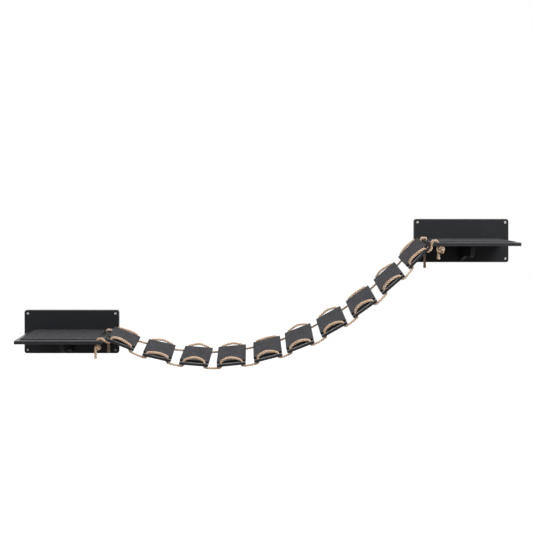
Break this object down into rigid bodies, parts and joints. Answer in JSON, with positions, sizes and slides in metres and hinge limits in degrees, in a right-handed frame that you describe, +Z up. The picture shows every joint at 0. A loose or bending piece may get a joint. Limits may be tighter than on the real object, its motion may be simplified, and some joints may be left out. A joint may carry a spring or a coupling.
{
  "type": "cat wall bridge",
  "caption": "Cat wall bridge: carpeted planks hang on two jute ropes between two bracketed wall shelves at different heights",
  "frame": {"origin": "centre of the lower wall plate's back face, on the wall's plane", "axes": "+X along the wall from the lower shelf to the upper one, +Y into the wall, +Z up"},
  "size_m": [1.791, 0.2144, 0.5115],
  "materials": {
    "black_board": "black painted board, satin, a little lighter on the top edges",
    "grey_mat": "short dark grey carpet, matt",
    "jute_rope": "three-strand twisted natural jute, matt and slightly hairy",
    "screw_steel": "bright zinc-plated steel"
  },
  "bodies": {
    "wall_units": {"lower_wall_plate": "black_board", "lower_shelf_board": "black_board", "lower_shelf_mat": "grey_mat", "lower_bracket": "black_board", "lower_wall_screw_1": "screw_steel", "lower_wall_screw_2": "screw_steel", "lower_wall_screw_3": "screw_steel", "lower_wall_screw_4": "screw_steel", "lower_shelf_screw_1": "screw_steel", "lower_shelf_screw_2": "screw_steel", "upper_wall_plate": "black_board", "upper_shelf_board": "black_board", "upper_shelf_mat": "grey_mat", "upper_bracket": "black_board", "upper_wall_screw_1": "screw_steel", "upper_wall_screw_2": "screw_steel", "upper_wall_screw_3": "screw_steel", "upper_wall_screw_4": "screw_steel", "upper_shelf_screw_1": "screw_steel", "upper_shelf_screw_2": "screw_steel", "near_rope_lower_end": "jute_rope", "far_rope_lower_end": "jute_rope", "near_rope_upper_end": "jute_rope", "far_rope_upper_end": "jute_rope"},
    "swing_01": {"near_rope_01": "jute_rope", "far_rope_01": "jute_rope"},
    "swing_02": {"near_rope_02": "jute_rope", "far_rope_02": "jute_rope"},
    "swing_03": {"near_rope_03": "jute_rope", "far_rope_03": "jute_rope"},
    "swing_04_05": {"near_rope_04_05": "jute_rope", "far_rope_04_05": "jute_rope"},
    "swing_06_07": {"near_rope_06_07": "jute_rope", "far_rope_06_07": "jute_rope"},
    "swing_08": {"near_rope_08": "jute_rope", "far_rope_08": "jute_rope"},
    "swing_09": {"near_rope_09": "jute_rope", "far_rope_09": "jute_rope"},
    "swing_10": {"near_rope_10": "jute_rope", "far_rope_10": "jute_rope"},
    "plank_01": {"plank_board_01": "black_board", "plank_pad_01": "grey_mat"},
    "plank_02": {"plank_board_02": "black_board", "plank_pad_02": "grey_mat"},
    "plank_03": {"plank_board_03": "black_board", "plank_pad_03": "grey_mat"},
    "plank_04": {"plank_board_04": "black_board", "plank_pad_04": "grey_mat"},
    "plank_05": {"plank_board_05": "black_board", "plank_pad_05": "grey_mat"},
    "plank_06": {"plank_board_06": "black_board", "plank_pad_06": "grey_mat"},
    "plank_07": {"plank_board_07": "black_board", "plank_pad_07": "grey_mat"},
    "plank_08": {"plank_board_08": "black_board", "plank_pad_08": "grey_mat"},
    "plank_09": {"plank_board_09": "black_board", "plank_pad_09": "grey_mat"},
    "plank_10": {"plank_board_10": "black_board", "plank_pad_10": "grey_mat"}
  },
  "joints": [
    {"name": "sway_01", "type": "slide", "parent": "wall_units", "child": "swing_01", "axis": [0, -1, 0], "range_m": [-0.0028, 0.0028], "stiffness_N_per_m": 2400},
    {"name": "sway_02", "type": "slide", "parent": "swing_01", "child": "swing_02", "axis": [0, -1, 0], "range_m": [-0.008, 0.008]},
    {"name": "sway_03", "type": "slide", "parent": "swing_02", "child": "swing_03", "axis": [0, -1, 0], "range_m": [-0.006, 0.006]},
    {"name": "sway_04_05", "type": "slide", "parent": "swing_03", "child": "swing_04_05", "axis": [0, -1, 0], "range_m": [-0.004, 0.004]},
    {"name": "sway_10", "type": "slide", "parent": "wall_units", "child": "swing_10", "axis": [0, -1, 0], "range_m": [-0.003, 0.003]},
    {"name": "sway_09", "type": "slide", "parent": "swing_10", "child": "swing_09", "axis": [0, -1, 0], "range_m": [-0.0065, 0.0065]},
    {"name": "sway_08", "type": "slide", "parent": "swing_09", "child": "swing_08", "axis": [0, -1, 0], "range_m": [-0.0055, 0.0055]},
    {"name": "sway_06_07", "type": "slide", "parent": "swing_08", "child": "swing_06_07", "axis": [0, -1, 0], "range_m": [-0.006, 0.006]},
    {"name": "rock_01", "type": "hinge", "parent": "swing_01", "child": "plank_01", "pos_m": [0.21171, -0.1174, -0.00471], "axis": [-0.0257, 0.999, 0.0355], "range_deg": [-1, 1], "stiffness_Nm_per_rad": 0.5},
    {"name": "rock_02", "type": "hinge", "parent": "swing_02", "child": "plank_02", "pos_m": [0.33834, -0.11762, -0.04602], "axis": [-0.0143, 0.9969, 0.0768], "range_deg": [-1.5, 1.5], "stiffness_Nm_per_rad": 0.5},
    {"name": "rock_03", "type": "hinge", "parent": "swing_03", "child": "plank_03", "pos_m": [0.46981, -0.1178, -0.06593], "axis": [0.0396, 0.9933, 0.1086], "range_deg": [-1.5, 1.5], "stiffness_Nm_per_rad": 0.5},
    {"name": "rock_04", "type": "hinge", "parent": "swing_04_05", "child": "plank_04", "pos_m": [0.59532, -0.11791, -0.06388], "axis": [-0.0023, 0.9906, 0.1367], "range_deg": [-1.5, 1.5], "stiffness_Nm_per_rad": 0.5},
    {"name": "rock_05", "type": "hinge", "parent": "swing_04_05", "child": "plank_05", "pos_m": [0.72218, -0.11797, -0.0406], "axis": [-0.0057, 0.9884, 0.152], "range_deg": [-1.5, 1.5], "stiffness_Nm_per_rad": 0.5},
    {"name": "rock_06", "type": "hinge", "parent": "swing_06_07", "child": "plank_06", "pos_m": [0.83495, -0.11797, -0.00155], "axis": [0.0101, 0.9863, 0.1646], "range_deg": [-1.5, 1.5], "stiffness_Nm_per_rad": 0.5},
    {"name": "rock_07", "type": "hinge", "parent": "swing_06_07", "child": "plank_07", "pos_m": [0.94957, -0.11792, 0.05674], "axis": [-0.0121, 0.9882, 0.1524], "range_deg": [-1.5, 1.5], "stiffness_Nm_per_rad": 0.5},
    {"name": "rock_08", "type": "hinge", "parent": "swing_08", "child": "plank_08", "pos_m": [1.05501, -0.11784, 0.12804], "axis": [-0.0004, 0.9887, 0.1498], "range_deg": [-1.5, 1.5], "stiffness_Nm_per_rad": 0.5},
    {"name": "rock_09", "type": "hinge", "parent": "swing_09", "child": "plank_09", "pos_m": [1.15345, -0.11774, 0.21111], "axis": [0.0136, 0.9893, 0.1454], "range_deg": [-1.5, 1.5], "stiffness_Nm_per_rad": 0.5},
    {"name": "rock_10", "type": "hinge", "parent": "swing_10", "child": "plank_10", "pos_m": [1.24123, -0.11763, 0.29981], "axis": [0.0074, 0.9931, 0.1174], "range_deg": [-1, 1], "stiffness_Nm_per_rad": 0.5}
  ],
  "couplings": [
    {"joint": "sway_02", "follows": "sway_01", "ratio": 2.7201},
    {"joint": "sway_03", "follows": "sway_01", "ratio": 2.0302},
    {"joint": "sway_04_05", "follows": "sway_01", "ratio": 1.2677},
    {"joint": "sway_10", "follows": "sway_01", "ratio": 0.9847},
    {"joint": "sway_09", "follows": "sway_01", "ratio": 2.1694},
    {"joint": "sway_08", "follows": "sway_01", "ratio": 1.8661},
    {"joint": "sway_06_07", "follows": "sway_01", "ratio": 1.9979}
  ]
}
